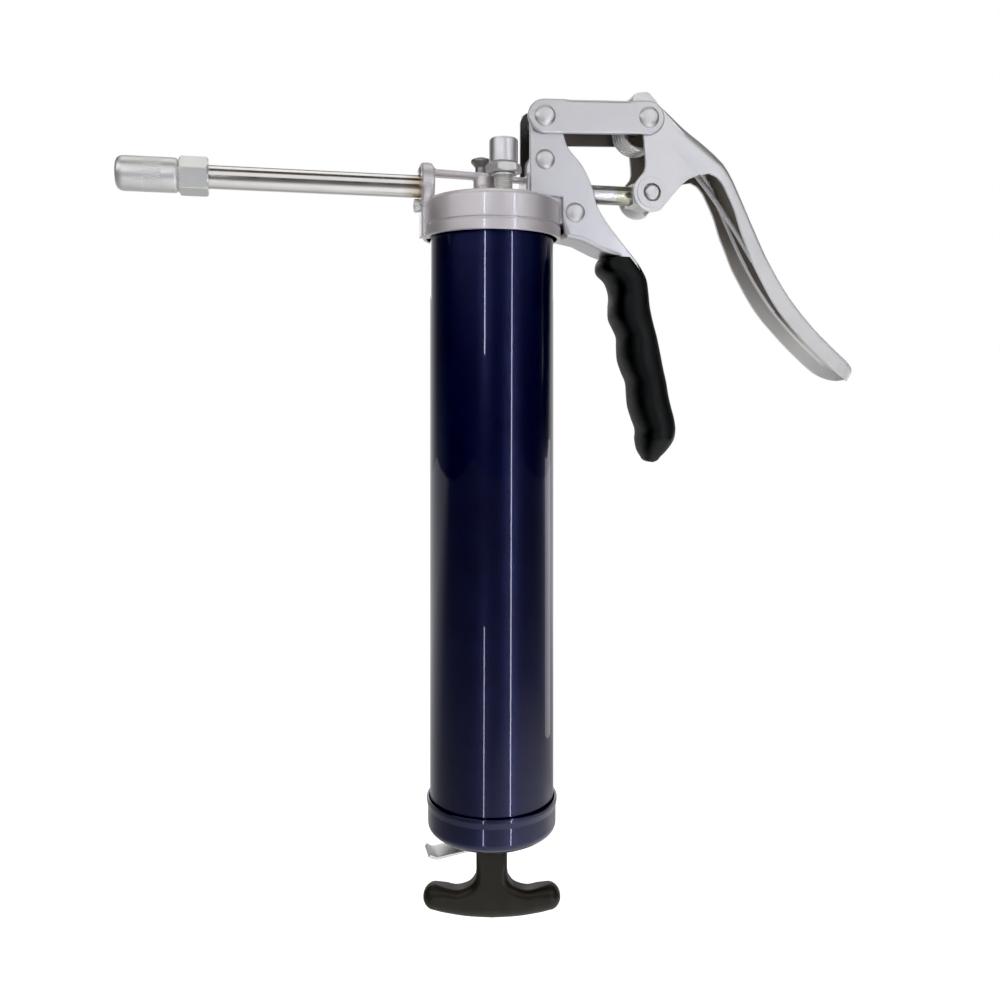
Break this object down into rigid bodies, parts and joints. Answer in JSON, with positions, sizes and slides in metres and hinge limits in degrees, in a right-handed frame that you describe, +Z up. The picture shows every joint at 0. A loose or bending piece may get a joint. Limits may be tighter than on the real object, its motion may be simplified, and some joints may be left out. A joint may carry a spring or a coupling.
{
  "type": "pistol-grip grease gun",
  "caption": "Hand-held pistol-grip grease gun: cartridge barrel with spring follower, toggle lever pump, rigid delivery pipe and grease coupler.",
  "frame": {"origin": "middle of the barrel's length, on its axis, where a barrel clip would hold it", "axes": "+Z up along the barrel towards the head; +X from the barrel to the grip and lever; -X along the delivery pipe; +Y away from the bleeder side"},
  "size_m": [0.345, 0.0638, 0.3829],
  "materials": {
    "navy_enamel": "glossy dark blue enamel",
    "cast_aluminium": "satin die-cast",
    "chrome_plate": "bright nickel-chrome plate",
    "plated_steel": "drawn and turned, plated",
    "zinc_plate": "satin zinc plate",
    "spring_steel": "oiled spring wire",
    "grip_rubber": "matte black moulded",
    "handle_plastic": "dark brown-black moulded",
    "seal_rubber": "black nitrile"
  },
  "bodies": {
    "barrel": {"barrel_tube": "navy_enamel", "end_cap": "navy_enamel", "rod_guide_washer": "zinc_plate", "follower_spring": "spring_steel", "lock_spring": "spring_steel"},
    "gasket": {"head_gasket": "seal_rubber"},
    "head": {"head_casting": "cast_aluminium", "gallery_plug": "zinc_plate", "check_spring": "spring_steel", "plunger_seal": "seal_rubber", "gland_nut": "zinc_plate", "bleeder_stem": "zinc_plate", "bleeder_washer": "zinc_plate", "filler_nipple": "zinc_plate", "delivery_pipe": "plated_steel", "coupler_body": "zinc_plate", "coupler_spring": "spring_steel", "handle_frame": "chrome_plate", "grip_sleeve": "grip_rubber", "frame_rivet_upper": "plated_steel", "frame_rivet_lower": "plated_steel", "pivot_pin_a": "plated_steel"},
    "link": {"toggle_link": "chrome_plate", "pivot_pin_b": "plated_steel"},
    "lever": {"lever": "chrome_plate", "return_spring": "spring_steel"},
    "plunger": {"plunger_rod": "plated_steel", "clevis": "zinc_plate", "clevis_pin": "plated_steel"},
    "knob": {"bleeder_knob": "chrome_plate"},
    "sleeve": {"coupler_sleeve": "zinc_plate"},
    "jaws": {"coupler_jaws": "plated_steel", "coupler_seal": "seal_rubber"},
    "ball": {"check_ball": "plated_steel"},
    "follower": {"follower_cup": "seal_rubber", "follower_plate": "zinc_plate"},
    "rod": {"follower_rod": "plated_steel", "rod_end_nut": "zinc_plate", "t_handle": "handle_plastic"},
    "lock": {"lock_lever": "zinc_plate"}
  },
  "joints": [
    {"name": "head_turn", "type": "hinge", "parent": "gasket", "child": "head", "pos_m": [0, 0, 0], "axis": [0, 0, 1], "range_deg": [0, 1080]},
    {"name": "head_rise", "type": "slide", "parent": "barrel", "child": "gasket", "axis": [0, 0, 1], "range_m": [0, 0.0091]},
    {"name": "lever_swing", "type": "hinge", "parent": "link", "child": "lever", "pos_m": [0.0721, 0, 0.1855], "axis": [0, 1, 0], "range_deg": [0, 21.6], "stiffness_Nm_per_rad": 1.2, "springref_deg": -20.05},
    {"name": "link_swing", "type": "hinge", "parent": "head", "child": "link", "pos_m": [0.022, 0, 0.1833], "axis": [0, 1, 0], "range_deg": [0, 1.7]},
    {"name": "plunger_stroke", "type": "slide", "parent": "head", "child": "plunger", "axis": [1, 0, 0], "range_m": [-0.0142, 0]},
    {"name": "bleeder_turn", "type": "hinge", "parent": "head", "child": "knob", "pos_m": [0.0032, -0.0105, 0.161], "axis": [0, 0, 1], "range_deg": [0, 180]},
    {"name": "sleeve_turn", "type": "hinge", "parent": "head", "child": "sleeve", "pos_m": [-0.15, 0, 0.151], "axis": [1, 0, 0], "range_deg": [0, 90]},
    {"name": "jaws_push", "type": "slide", "parent": "head", "child": "jaws", "axis": [1, 0, 0], "range_m": [0, 0.002], "stiffness_N_per_m": 2000, "springref_m": -0.002, "deforming": ["coupler_spring"]},
    {"name": "check_lift", "type": "slide", "parent": "head", "child": "ball", "axis": [-1, 0, 0], "range_m": [0, 0.0015], "stiffness_N_per_m": 200, "springref_m": -0.003, "deforming": ["check_spring"]},
    {"name": "follower_travel", "type": "slide", "parent": "barrel", "child": "follower", "axis": [0, 0, -1], "range_m": [0, 0.225], "stiffness_N_per_m": 200, "springref_m": -0.1, "deforming": ["follower_spring"]},
    {"name": "rod_turn", "type": "hinge", "parent": "follower", "child": "rod", "pos_m": [0, 0, 0], "axis": [0, 0, 1], "continuous": true},
    {"name": "lock_tilt", "type": "hinge", "parent": "barrel", "child": "lock", "pos_m": [0.0095, 0, -0.1473], "axis": [0, 1, 0], "range_deg": [0, 4], "stiffness_Nm_per_rad": 0.3, "springref_deg": -11.46, "deforming": ["lock_spring"]}
  ],
  "couplings": [
    {"joint": "head_rise", "follows": "head_turn", "m_per_rad": 0.00047746},
    {"joint": "link_swing", "follows": "lever_swing", "ratio": 0.0768},
    {"joint": "plunger_stroke", "follows": "lever_swing", "m_per_rad": -0.036634}
  ]
}
